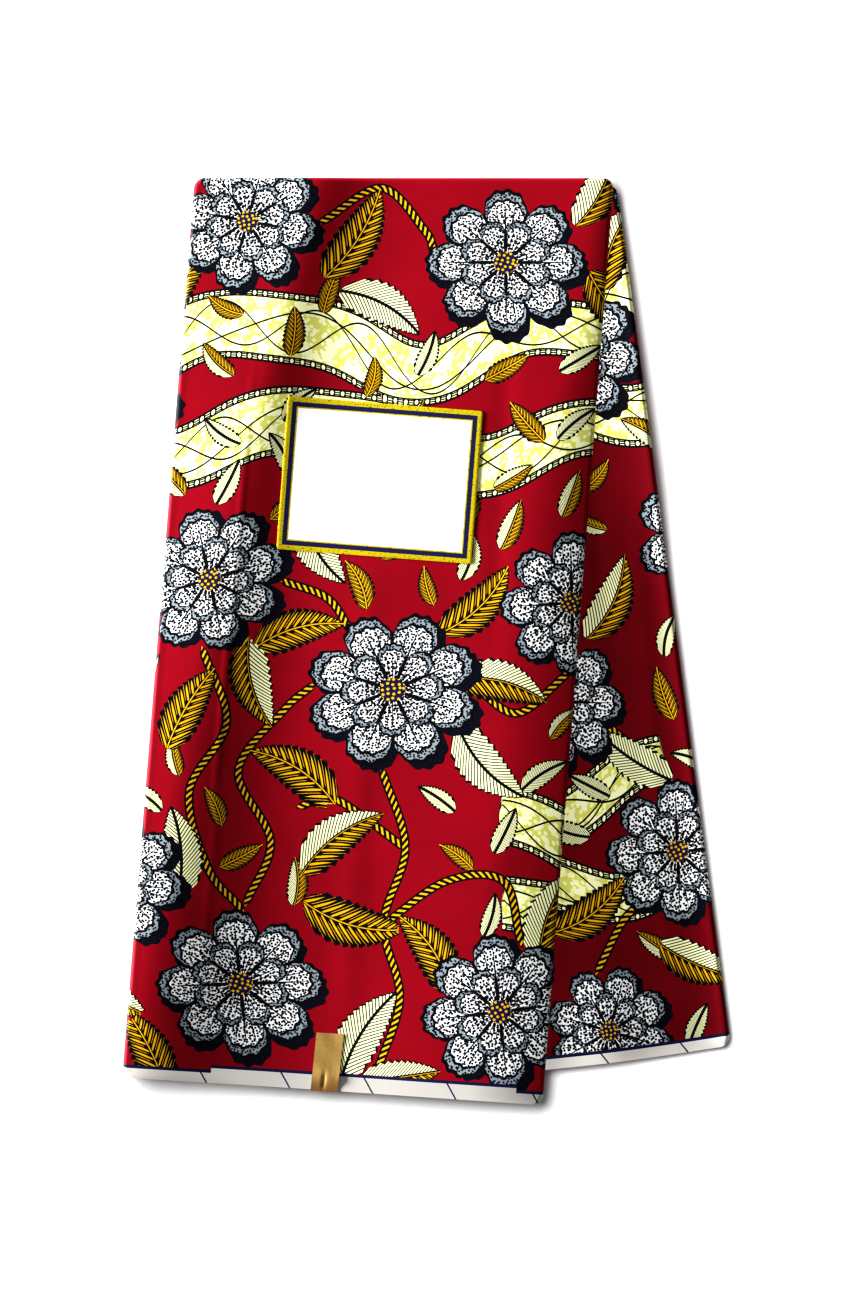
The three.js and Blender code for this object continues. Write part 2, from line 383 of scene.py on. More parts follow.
# Rosettes: along, up, turn in degrees, radius, squeeze
blossoms = [
    (36, 566, 12, 46, 1.0),
    (203, 540, -20, 52, 1.12),
    (30, 330, 40, 50, 1.08),
    (152, 262, 5, 56, 1.1),
    (262, 322, 28, 46, 1.0),
    (70, 66, -15, 54, 1.12),
    (236, 58, 33, 50, 1.0),
    (352, 452, 10, 50, 1.08),
    (316, 232, -30, 44, 1.0),
    (382, 128, 18, 48, 1.05),
    (322, 20, 0, 42, 1.0),
]

# Leaves: along, up, turn in degrees, half length, bend, style (0 gold, 1 cream, 2 one half of each)
leaves = [
    (108, 556, 62, 33, 0.15, 0),
    (128, 512, -28, 30, -0.2, 1),
    (262, 590, 70, 30, 0.2, 2),
    (272, 512, -50, 27, 0.1, 0),
    (96, 352, -58, 30, 0.2, 1),
    (88, 300, 18, 30, -0.2, 0),
    (62, 262, -72, 31, 0.2, 2),
    (22, 246, 64, 30, -0.1, 0),
    (204, 318, 48, 30, 0.2, 0),
    (222, 270, -12, 31, -0.2, 2),
    (96, 208, 150, 33, 0.2, 0),
    (214, 214, -44, 32, 0.2, 1),
    (26, 150, 98, 31, 0.15, 1),
    (124, 166, 40, 32, -0.2, 2),
    (138, 108, -12, 34, 0.2, 0),
    (150, 40, 62, 33, -0.15, 1),
    (16, 20, 120, 30, 0.1, 0),
    (190, 96, 128, 30, 0.2, 0),
    (262, 122, 74, 32, -0.2, 2),
    (176, 12, 12, 26, 0.0, 2),
    (300, 408, 118, 30, 0.2, 0),
    (392, 520, 60, 30, -0.2, 2),
    (330, 520, 100, 28, 0.1, 1),
    (362, 292, 58, 30, 0.2, 2),
    (300, 300, 96, 28, 0.1, 0),
    (360, 190, 140, 29, -0.1, 1),
    (322, 96, 30, 30, 0.2, 0),
    (386, 54, -30, 29, 0.1, 2),
]

leafNarrow = 0.6    # a leaf's width to its length, in the choice of the nearest
styleStep = 1000    # a leaf's style is kept in the thousands of its half length

# Rope stems, each through a few places
stems = [
    ((150, 208), (168, 160), (158, 110), (172, 62), (160, 8), (164, -20)),
    ((70, 120), (82, 160), (58, 205), (84, 246), (100, 262)),
    ((158, 110), (196, 140), (232, 142), (246, 104)),
    ((168, 160), (120, 190), (100, 184)),
    ((30, 282), (48, 236), (28, 190), (44, 140), (66, 116)),
    ((200, 270), (232, 250), (262, 276)),
    ((84, 566), (120, 588), (150, 560), (156, 548)),
    ((78, 330), (106, 320), (122, 300)),
    ((316, 276), (336, 330), (330, 380), (346, 404)),
    ((382, 176), (350, 210), (336, 222)),
    ((364, 500), (372, 548), (350, 600)),
    ((320, 60), (344, 92), (372, 104)),
]
stemForm = {
    "width": 2.9,            # half of it
    "taper": 4.0,            # past each end
    "thinnest": 0.02,
    "far": 2.5,              # widths away, where a place has no side
    "twist": 4.4,            # from strand to strand
    "strand": (0.46, 0.62),  # how much of it is gold, along and across
}

# Wavy ribbons: height of the middle, half width, swing, shift
ribbons = [
    (486, 21, 15, 0.0),
    (424, 21, 13, 40.0),
    (176, 17, 15, 150.0),
    (118, 16, 12, 190.0),
]
ribbonGaps = {2: (-20, 226), 3: (-20, 232)}    # the lower ribbons start past these places
ribbonUneven = {"swing": (0.25, 1.1), "width": (0.12, 0.6)}    # share and start of each wave


def curveThrough(places, steps=16):
    # a smooth curve through a few places
    ends = [np.array(place, float) for place in places]
    ends = [2 * ends[0] - ends[1]] + ends + [2 * ends[-1] - ends[-2]]
    share = np.linspace(0, 1, steps, endpoint=False)[:, None]
    runs = []
    for a, b, c, d in zip(ends, ends[1:], ends[2:], ends[3:]):
        runs.append(0.5 * (2 * b + (c - a) * share + (2 * a - 5 * b + 4 * c - d) * share**2
                           + (3 * b - a - 3 * c + d) * share**3))
    return np.vstack(runs + [ends[-2][None, :]])


def wrapped(distance):
    # along the cloth, to the nearest repeat
    return (distance + repeat / 2) % repeat - repeat / 2


def turnedInto(motifs, awayS, awayT):
    # distances across and up, taken forward and sideways in motifs as they are turned
    turn = np.radians(motifs[:, 2])
    return awayS * np.cos(turn) + awayT * np.sin(turn), awayT * np.cos(turn) - awayS * np.sin(turn)


def nearestOf(motifs, along, up, narrow):
    # the motif nearest to each face's middle, and how many repeats away it is
    awayS, awayT = wrapped(along[:, None] - motifs[:, 0]), up[:, None] - motifs[:, 1]
    forward, sideways = turnedInto(motifs, awayS, awayT)
    chosen = np.argmin(np.hypot(forward, sideways / narrow) / motifs[:, 3], axis=1)
    return chosen, np.round((along - motifs[chosen, 0]) / repeat)


def motifPlaces(motifs, narrow, along, up, middleAlong, middleUp):
    # each face corner's place in the motif that its face draws
    motifs = np.array(motifs, float)
    chosen, repeats = nearestOf(motifs, middleAlong, middleUp, narrow)
    motifs, repeats = motifs[np.repeat(chosen, 4)], np.repeat(repeats, 4)
    x, y = turnedInto(motifs, along - motifs[:, 0] - repeats * repeat, up - motifs[:, 1])
    return x, y, motifs


def stemPlaces(along, up, middleAlong, middleUp):
    form = stemForm
    lines = [curveThrough(stem) for stem in stems]
    away = []
    for line in lines:
        awayS, awayT = wrapped(middleAlong[:, None] - line[:, 0]), middleUp[:, None] - line[:, 1]
        away.append(np.hypot(awayS, awayT).min(axis=1))
    chosen = np.repeat(np.argmin(away, axis=0), 4)
    far = np.repeat(np.min(away, axis=0) > form["far"] * form["width"], 4)
    run, offset, width = np.zeros((3, len(along)))
    for k, line in enumerate(lines):
        mine = np.flatnonzero(chosen == k)
        awayS = wrapped(along[mine, None] - line[:, 0])
        awayT = up[mine, None] - line[:, 1]
        index = np.hypot(awayS, awayT).argmin(axis=1)
        tangent = np.gradient(line, axis=0)
        tangent /= np.hypot(*tangent.T)[:, None]
        length = np.concatenate(([0], np.cumsum(np.hypot(*np.diff(line, axis=0).T))))
        rows = np.arange(len(mine))
        nearS, nearT = awayS[rows, index], awayT[rows, index]
        tangentS, tangentT = tangent[index].T
        run[mine] = length[index] + nearS * tangentS + nearT * tangentT
        past = np.maximum(0, np.abs(run[mine] - length[-1] / 2) - length[-1] / 2)
        side = tangentS * nearT - tangentT * nearS
        offset[mine] = np.where(far[mine], np.abs(side), side)
        width[mine] = np.maximum(form["width"] * (1 - past / form["taper"]), form["thinnest"])
    return run, offset, width


def ribbonPlaces(along, up, middleAlong, middleUp):
    def middleOf(k, place):
        height, _, swing, shift = ribbons[k]
        wave = 2 * math.pi * (place - shift) / (repeat / 2)
        share, start = ribbonUneven["swing"]
        return height + swing * np.sin(wave) + share * swing * np.sin(2 * wave + start)

    away = np.stack([np.abs(middleUp - middleOf(k, middleAlong)) for k in range(len(ribbons))])
    chosen = np.repeat(away.argmin(axis=0), 4)
    offset, width = np.zeros((2, len(along)))
    for k, (_, half, _, shift) in enumerate(ribbons):
        mine = chosen == k
        slope = (middleOf(k, along[mine] + 1) - middleOf(k, along[mine] - 1)) / 2
        offset[mine] = (up[mine] - middleOf(k, along[mine])) / np.hypot(1, slope)
        share, start = ribbonUneven["width"]
        width[mine] = half * (1 + share * np.sin(2 * math.pi * (along[mine] - shift) / repeat + start))
        if k in ribbonGaps:
            low, high = ribbonGaps[k]
            held = np.abs(wrapped(along[mine] - (low + high) / 2)) < (high - low) / 2
            width[mine] = np.where(held, 0, width[mine])
    return along, offset, width


sprigScatter = {
    "seed": 7,
    "tries": 5000,
    "up": (16, 640),
    "turn": (20, 160),
    "size": (13, 18),
    "bend": (-0.2, 0.2),
    "styles": 3,
    "blossomReach": 1.08,    # times a rosette's radius
    "leafReach": 0.8,        # times a leaf's half length
    "ownReach": 0.55,        # times the sprig's own, beside those
    "fromStems": (0.8, 3),   # times its own, and millimetres
    "apart": 30,
}


def scatterSprigs():
    # small leaves strewn over the ground, clear of everything else
    form = sprigScatter
    dice = np.random.default_rng(form["seed"])
    lines = np.vstack([curveThrough(stem) for stem in stems])
    taken = [(m[0], m[1], m[3] * form["blossomReach"]) for m in blossoms]
    taken = np.array(taken + [(m[0], m[1], m[3] * form["leafReach"]) for m in leaves])
    share, margin = form["fromStems"]
    sprigs = []
    for _ in range(form["tries"]):
        s = dice.uniform(0, repeat)
        t, turn, size, bend = [dice.uniform(*form[name]) for name in ("up", "turn", "size", "bend")]
        style = dice.integers(0, form["styles"])
        reach = taken[:, 2] + form["ownReach"] * size
        if (np.hypot(wrapped(s - taken[:, 0]), t - taken[:, 1]) < reach).any():
            continue
        if (np.hypot(wrapped(s - lines[:, 0]), t - lines[:, 1]) < share * size + margin).any():
            continue
        if any(math.hypot(wrapped(s - other[0]), t - other[1]) < form["apart"] for other in sprigs):
            continue
        sprigs.append((s, t, turn, size, bend, style))
    return sprigs


sprigs = scatterSprigs()


def setPlaces(mesh, name, domain, *values):
    # places that the materials read, one for each point or face corner
    held = mesh.attributes.new(name, "FLOAT_VECTOR", domain)
    held.data.foreach_set("vector", np.stack(values, axis=-1).astype(np.float32).ravel())


# painted shade: the print is darkened along the left folds, where the low light strikes them full on
leftFoldPaintedShade = {"share": 0.55, "reach": 6.0, "fade": 5.0}


def layPrint(mesh, s, t, shift, deeper=0.0):
    # writes where each face corner lies in the design, for the material to draw
    corner = cornerVertices(mesh)
    along, up = s[corner] + shift, t[corner]
    middles = along.reshape(-1, 4).mean(axis=1), up.reshape(-1, 4).mean(axis=1)
    # the third part carries the painted shading of the rear panel
    setPlaces(mesh, "clothPlace", "CORNER", along, up, np.full_like(along, deeper))
    # painted shade towards the left edge, kept for the material
    held = 1 - leftFoldPaintedShade["share"] * np.clip((leftFoldPaintedShade["reach"] - s[corner]) / leftFoldPaintedShade["fade"], 0, 1)
    setPlaces(mesh, "paintedShadeOnFolds", "CORNER", held, held, held)
    x, y, motif = motifPlaces(blossoms, 1.0, along, up, *middles)
    setPlaces(mesh, "blossomPlace", "CORNER", x, y * motif[:, 4], motif[:, 3])
    for name, motifs in (("leafPlace", leaves), ("sprigPlace", sprigs)):
        x, y, motif = motifPlaces(motifs, leafNarrow, along, up, *middles)
        y = y - motif[:, 4] * (x * x / motif[:, 3])
        setPlaces(mesh, name, "CORNER", x, y, motif[:, 3] + styleStep * motif[:, 5])
    setPlaces(mesh, "stemPlace", "CORNER", *stemPlaces(along, up, *middles))
    setPlaces(mesh, "ribbonPlace", "CORNER", *ribbonPlaces(along, up, *middles))


class Value:
    # what a material's nodes work out at each place, written like a number: each step is a Math node
    def __init__(self, socket):
        self.socket = socket

    def __add__(self, other):
        return calc("ADD", self, other)

    def __sub__(self, other):
        return calc("SUBTRACT", self, other)

    def __rsub__(self, other):
        return calc("SUBTRACT", other, self)

    def __mul__(self, other):
        return calc("MULTIPLY", self, other)

    def __truediv__(self, other):
        return calc("DIVIDE", self, other)

    def __rtruediv__(self, other):
        return calc("DIVIDE", other, self)

    def __pow__(self, other):
        return calc("POWER", self, other)

    def __lt__(self, other):
        return calc("LESS_THAN", self, other)

    def __gt__(self, other):
        return calc("GREATER_THAN", self, other)

    def __abs__(self):
        return calc("ABSOLUTE", self)


def feed(inputs, values):
    # into a node's inputs, by name or number: values are linked, and numbers and colours are set
    for name, value in values.items():
        socket = inputs[name]
        if isinstance(value, Value):
            socket.id_data.links.new(value.socket, socket)
        else:
            socket.default_value = (*value, 1) if socket.type == "RGBA" else value


def treeOf(value):
    return value.socket.id_data


def newNode(tree, kind, inputs, **settings):
    node = tree.nodes.new("ShaderNode" + kind)
    for name, value in settings.items():
        setattr(node, name, value)
    feed(node.inputs, inputs)
    return [Value(socket) for socket in node.outputs]


def calc(kind, *values):
    tree = next(treeOf(value) for value in values if isinstance(value, Value))
    return newNode(tree, "Math", dict(enumerate(values)), operation=kind)[0]


def near(value, middle, within):
    return calc("COMPARE", value, middle, within)


def largest(*values):
    found = values[0]
    for value in values[1:]:
        found = calc("MAXIMUM", found, value)
    return found


def blend(mask, under, over):
    return newNode(treeOf(mask), "Mix", {0: mask, 6: under, 7: over}, data_type="RGBA")[2]


def scaled(colour, by):
    return newNode(treeOf(by), "VectorMath", {0: colour, "Scale": by}, operation="SCALE")[0]


def partsOf(vector):
    return newNode(treeOf(vector), "SeparateXYZ", {0: vector})


def flatVector(x, y):
    return newNode(treeOf(x), "CombineXYZ", {0: x, 1: y})[0]


def noise(vector, scale, detail=3.0):
    return newNode(treeOf(vector), "TexNoise", {"Vector": vector, "Scale": scale, "Detail": detail})[0]


def dots(x, y, pitch, loose=0.9):
    # distance from the middle of the nearest of many scattered dots, in pitches
    inputs = {"Vector": flatVector(x, y), "Scale": 1 / pitch, "Randomness": loose}
    return newNode(treeOf(x), "TexVoronoi", inputs, voronoi_dimensions="2D")[0]


def placeNode(tree, name):
    return newNode(tree, "Attribute", {}, attribute_name=name)[1]


def newGroup(name, inputs, outputs):
    # a group, what it is given, and the sockets that show what it works out
    tree = bpy.data.node_groups.new(name, "ShaderNodeTree")
    for way, sockets in (("INPUT", inputs), ("OUTPUT", outputs)):
        for socket, kind in sockets.items():
            tree.interface.new_socket(socket, in_out=way, socket_type="NodeSocket" + kind)
    given = {socket.name: Value(socket) for socket in tree.nodes.new("NodeGroupInput").outputs}
    return tree, given, tree.nodes.new("NodeGroupOutput").inputs


def useGroup(tree, group, **values):
    node = tree.nodes.new("ShaderNodeGroup")
    node.node_tree = group
    feed(node.inputs, values)
    return {socket.name: Value(socket) for socket in node.outputs}


def printGroup(name):
    _, given, shown = newGroup(name, {"Place": "Vector"}, {"Colour": "Color", "Mask": "Float"})
    return partsOf(given["Place"]), shown


def showPrint(shown, colour, mask):
    feed(shown, {"Colour": colour, "Mask": mask})
    return treeOf(mask)


blossomLook = {
    "petals": 8,
    "petalRound": (2.6, 0.3),      # how late and how far a petal draws in towards its sides
    "ripple": (31.4, 0.016),       # pace and height of the waves in its rim
    "innerPetals": 0.6,            # reach of the inner ones, which lie between the outer ones
    "veins": 5,                    # to a petal
    "veinEnd": (0.86, 0.34),       # where they end, and how fast they widen towards the eye
    "rim": (0.85, 0.95),           # the grey rim, from its thin black line to its black edge
    "rimLine": 0.018,
    "divider": 0.05,               # dark line between petals
    "speckle": (2.0, 0.33, 0.14),  # pitch in millimetres, size at the rim and what the eye adds
    "eye": 0.15,
    "stamens": (0.062, 0.4, 0.3),  # pitch, looseness and size
    "shadow": (0.075, -0.085),     # how far it falls to the side and down
    "glints": (1.5, 0.2),          # pitch in millimetres and size of the navy dots in it
}


def petalRing(x, y, turn):
    # radius, place across the petal, nearness to its side (0 in its middle, 1 at it) and its reach
    late, depth = blossomLook["petalRound"]
    pace, swing = blossomLook["ripple"]
    radius = calc("SQRT", x * x + y * y)
    angle = calc("ARCTAN2", y, x) * (blossomLook["petals"] / (2 * math.pi)) + turn
    across = calc("FRACT", angle) - 0.5
    side = abs(across) * 2
    return radius, across, side, 1 - side**late * depth + calc("SINE", angle * pace) * swing


def blossomPrint():
    look = blossomLook
    place, shown = printGroup("blossomPrint")
    x, y = place[0] / place[2], place[1] / place[2]
    radius, across, side, reach = petalRing(x, y, 0)
    outer = radius / reach
    _, innerAcross, innerSide, innerReach = petalRing(x, y, 0.5)
    inner = radius / (innerReach * look["innerPetals"])
    isInner = inner < 1

    def either(ofOuter, ofInner):
        return (ofInner - ofOuter) * isInner + ofOuter

    share = either(outer, inner)                 # from the centre to the petal's rim
    nearSide = (1 - either(side, innerSide)) * radius
    vein = abs(calc("FRACT", either(across, innerAcross) * look["veins"] + 0.5) - 0.5)
    veinEnd, veinGrow = look["veinEnd"]
    pitch, atRim, towardsEye = look["speckle"]
    rimStart, rimEnd = look["rim"]
    ink = largest(
        share > rimEnd,
        near(share, rimStart, look["rimLine"]),
        nearSide < look["divider"],
        vein < (veinEnd - share) * veinGrow,
        dots(place[0], place[1], pitch) < (1 - share) * towardsEye + atRim,
    )
    colour = blend(ink, blend(share > rimStart, palette["white"], palette["cool"]), palette["black"])
    eye = radius < look["eye"]
    colour = blend(eye, colour, palette["navy"])
    pitch, loose, size = look["stamens"]
    colour = blend(eye * (dots(x, y, pitch, loose) < size), colour, palette["gold"])
    petals = outer < 1
    aside, down = look["shadow"]
    shadowRadius, _, _, shadowReach = petalRing(x - aside, y - down, 0)
    pitch, size = look["glints"]
    shadow = blend(dots(place[0], place[1], pitch) < size, palette["black"], palette["navy"])
    return showPrint(shown, blend(petals, shadow, colour), largest(petals, shadowRadius < shadowReach))


leafLook = {
    "tips": (0.8, 0.5),               # how pointed it is ahead and behind
    "width": 0.43,                    # half width to half length
    "least": (0.01, 0.5),             # widths that the shares below are worked out from, at least
    "slant": 1.15,                    # of its teeth and strokes
    "teeth": 5.5,
    "toothCut": (1.05, 0.16),
    "stroke": (0.19, 0.36, 0.8),      # half width, where it is widest and how fast it thins
    "thinStroke": (0.45, 0.55, 0.33),  # how far beside the stroke, and its own middle and half length
    "fine": (11, 0.68),               # strokes of a cream leaf, and how much of each is ink
    "edge": 1.0,                      # black all round
    "rib": (0.4, 0.95),               # half width of the gold rib, and of the black beside it
}


def leafPrint():
    look = leafLook
    place, shown = printGroup("leafPrint")
    style = calc("FLOOR", place[2] / styleStep)
    half = place[2] - style * styleStep
    x = place[0] / half
    away = abs(place[1])
    ahead, behind = look["tips"]
    width = largest(1 - x, 0) ** ahead * largest(x + 1, 0) ** behind * half * look["width"]
    slant = (place[0] - away * look["slant"]) / half
    teeth = calc("FRACT", slant * look["teeth"])
    full, cut = look["toothCut"]
    width = width * (full - teeth * cut)
    leastForShare, leastForEdge = look["least"]
    share = away / largest(width, leastForShare)
    stroke = abs(teeth - 0.5)
    thick, widest, thins = look["stroke"]
    offWidest = share - widest
    thinFrom, thinMiddle, thinHalf = look["thinStroke"]
    thin = (stroke > thinFrom) * near(share, thinMiddle, thinHalf)
    strokes = largest(stroke < thick - offWidest * offWidest * thins, thin)
    pace, inked = look["fine"]
    fine = calc("FRACT", slant * pace) < inked
    rib, besideRib = look["rib"]
    body = (share < 1 - look["edge"] / largest(width, leastForEdge)) * (away > besideRib)
    gold = blend(largest(away < rib, strokes * body), palette["black"], palette["gold"])
    cream = blend(fine * body, palette["black"], palette["paleCream"])
    isCream, isHalf = near(style, 1, 0.1), near(style, 2, 0.1) * (place[1] > 0)
    return showPrint(shown, blend(largest(isCream, isHalf), gold, cream), away < width)


def stemPrint():
    place, shown = printGroup("stemPrint")
    share = abs(place[1]) / place[2]
    twist = calc("FRACT", (place[0] + place[1]) / stemForm["twist"])
    inked, core = stemForm["strand"]
    strand = (twist < inked) * (share < core)
    return showPrint(shown, blend(strand, palette["black"], palette["gold"]), share < 1)


ribbonLook = {
    "border": 5.2,
    "beads": 6.8,                # from one to the next
    "beadLine": 2.7,             # in from the ribbon's edge
    "beadSize": (0.17, 1.45),    # half length in pitches and half width
    "dashes": (0.3, 1.5),        # between the beads: from where, in pitches, and how long
    "dashLines": (1.35, 0.4),    # from one to the next, and how much of each is ink
    "patches": (0.11, 2.0, 0.52),
    "bubbles": (4.2, 0.3),       # pitch and size
    "waves": ((0.0, 0.66, 15.0), (2.1, 0.6, 15.0), (4.4, 0.5, 24.0)),    # start, swing, reach
    "line": 0.55,
}


def ribbonPrint():
    look = ribbonLook
    place, shown = printGroup("ribbonPrint")
    fromEdge = place[2] - abs(place[1])
    fromBead = abs(calc("FRACT", place[0] / look["beads"]) - 0.5)
    halfLength, halfWidth = look["beadSize"]
    x, y = fromBead / halfLength, (fromEdge - look["beadLine"]) / halfWidth
    dashStart, dashReach = look["dashes"]
    pitch, inked = look["dashLines"]
    dash = (calc("FRACT", fromEdge / pitch) < inked) * near(fromEdge, look["beadLine"], dashReach)
    bead = largest(x * x + y * y < 1, (fromBead > dashStart) * dash)
    scale, detail, level = look["patches"]
    patches = noise(flatVector(place[0], place[1]), scale, detail) > level
    pitch, size = look["bubbles"]
    bubbles = dots(place[1], place[0], pitch) < size
    ground = blend(largest(patches, bubbles), palette["cream"], palette["paleCream"])
    lines = []
    for start, swing, reach in look["waves"]:
        height = calc("SINE", place[0] / reach + start) * swing * place[2]
        lines.append(near(place[1], height, look["line"]))
    ground = blend(largest(*lines), ground, palette["black"])
    edging = blend(bead, palette["black"], palette["paleCream"])
    return showPrint(shown, blend(fromEdge < look["border"], ground, edging), fromEdge > 0)


selvedgeLook = {
    "height": (8.6, 3.2),          # of its low steps, and what the high ones add
    "steps": (62, -0.9),           # reach along the cloth, and start
    "line": 2.0,                   # navy, along its top
    "ticks": (53, 0.012, 0.02),    # pitch, slant and share of the navy ticks
    "paintedLightValley": (50, 36),            # middle and reach of the painted light on the selvedge, in the valley beside the ridge
    "tone": (0.86, 0.52),          # the selvedge's brightness away from the valley, and the painted light added in it
}


def selvedgePrint():
    # the white selvedge and its navy line in small steps. Painted light: the selvedge is made brighter in
    # the shaded valley beside the ridge and on the shaded rear panel
    look = selvedgeLook
    place, shown = printGroup("selvedgePrint")
    low, step = look["height"]
    reach, start = look["steps"]
    top = (calc("SINE", place[0] / reach + start) > 0) * step + low
    pitch, slant, inked = look["ticks"]
    tick = calc("FRACT", place[0] / pitch + place[1] * slant) < inked
    navy = place[1] > top - look["line"]
    middle, reach = look["paintedLightValley"]
    fromValley = (place[0] - middle) / reach
    least, more = look["tone"]
    # painted light: brighter in the valley, and by the rear panel's painted shading
    tone = calc("EXPONENT", fromValley * fromValley * -1) * more + least + place[2]
    paintedLightSelvedge = scaled(palette["selvedge"], tone)
    return showPrint(shown, blend(largest(navy, tick), paintedLightSelvedge, palette["navy"]), place[1] < top)


# What is printed over what, each with the attribute that places it
leafGroup = leafPrint()
prints = {
    "ribbonPlace": ribbonPrint(),
    "sprigPlace": leafGroup,
    "stemPlace": stemPrint(),
    "leafPlace": leafGroup,
    "blossomPlace": blossomPrint(),
    "clothPlace": selvedgePrint(),
}


def weaveHeight():
    # plain weave: rows of threads that pass over and under each other, in millimetres of cloth
    tree, given, shown = newGroup("plainWeave", {"Place": "Vector", "Thread": "Float"}, {"Height": "Float"})
    waves = [calc("SINE", part / given["Thread"] * math.pi) for part in partsOf(given["Place"])[:2]]
    feed(shown, {"Height": waves[0] * waves[1] * 0.5 + 0.5})
    return tree


weave = weaveHeight()


def newMaterial(name):
    made = bpy.data.materials.new(name)
    made.use_nodes = True
    return made, made.node_tree, made.node_tree.nodes["Principled BSDF"].inputs


def addBump(shader, height, strength, distance):
    inputs = {"Strength": strength, "Distance": distance, "Height": height}
    feed(shader, {"Normal": newNode(treeOf(height), "Bump", inputs)[0]})


printedLook = {
    "roughness": 0.62,
    "specular": 0.1,
    "sheen": (0.04, 0.5),              # weight and roughness
    "uneven": (0.09, 0.16),            # scale and range of the roughness
    "dyeing": (0.035, 5.0, 0.88, 0.24),  # scale, detail, least and range of the red's tone
    "thread": 0.45,                    # millimetres from thread to thread
    "weave": (0.5, 0.00004),           # strength, and height in metres
}


def clothSurface(shader, look, colour, place):
    # the settings and the woven bump that the printed face and the fold edges share
    sheen, sheenRoughness = look["sheen"]
    scale, span = look["uneven"]
    feed(shader, {
        "Base Color": colour,
        "Roughness": noise(place, scale) * span + (look["roughness"] - span / 2),
        "Specular IOR Level": look["specular"],
        "Sheen Weight": sheen,
        "Sheen Roughness": sheenRoughness,
    })
    height = useGroup(treeOf(place), weave, Place=place, Thread=look["thread"])["Height"]
    addBump(shader, height, *look["weave"])


def printedCotton():
    made, tree, shader = newMaterial("waxPrintedCotton")
    inCloth = placeNode(tree, "clothPlace")
    scale, detail, least, span = printedLook["dyeing"]
    # the red's tone varies at random, less the painted shade of the rear panel
    tone = noise(inCloth, scale, detail) * span + least - partsOf(inCloth)[2]
    colour = scaled(palette["red"], tone)
    for name, group in prints.items():
        drawn = useGroup(tree, group, Place=placeNode(tree, name))
        colour = blend(drawn["Mask"], colour, drawn["Colour"])
    # painted shade: the print darkened along the left folds
    colour = scaled(colour, partsOf(placeNode(tree, "paintedShadeOnFolds"))[0])
    clothSurface(shader, printedLook, colour, inCloth)
    return made


layerDetail = {
    "segments": 496,
    "levels": 72,
    "sideFolds": 4,          # each holds two panels
    "topFolds": 9,           # the fold of each hidden panel
    "hemEdges": 18,          # two selvedges to each hidden panel
    "foldDepth": (1.5, 9.0),     # the most of one, and the sum of all at a side
    "sideInset": 1.2,
    "hemInset": 0.4,         # times that at the hem
    "ends": (3.0, 9.0),      # from here to there, a side takes over from the hem or the top
    "uneven": 1.1,
    "under": 1.7,            # below the top panel's surface, away from the hem
    "clear": 0.35,           # and everywhere
    "footInset": 1.5,        # where the height of the lowest edge is measured
    "outlineLength": 580.0,  # that the places round the outline are spaced for
    "mapWidth": 0.99,
}

# How folds stand in unevenly: each fold's own step, and waves along it
foldUneven = {
    "mix": (12.9898, 4.1, 43758.5453),      # turns a fold's number and the seed into its own share
    "step": 0.65,
    "wave": 0.18,
    "waves": ((31, 1.7, 1.0), (67, -2.3, 0.5)),    # pace along the fold, shift to the next, size
}


def edgeShares(place):
    # shares across and up a group for places round its outline, from the hem's left corner
    width, length = cloth["panelWidth"], layerDetail["outlineLength"]
    run = place * 2 * (width + length)
    corners = np.cumsum([0, width, length, width, length])
    return np.interp(run, corners, [0, 1, 1, 0, 0]), np.interp(run, corners, [0, 0, 1, 1, 0])


def foldWander(seed, fold, place):
    # how far each fold stands in from the one above, uneven from fold to fold and along it
    byFold, bySeed, stretch = foldUneven["mix"]
    step = np.sin(byFold * fold + bySeed * seed) * stretch
    step = step - np.floor(step)
    waves, most = 0, 0
    for pace, shift, size in foldUneven["waves"]:
        waves = waves + size * np.sin(place * pace + fold * shift + seed)
        most += size
    return foldUneven["step"] * step + foldUneven["wave"] * (waves + most)


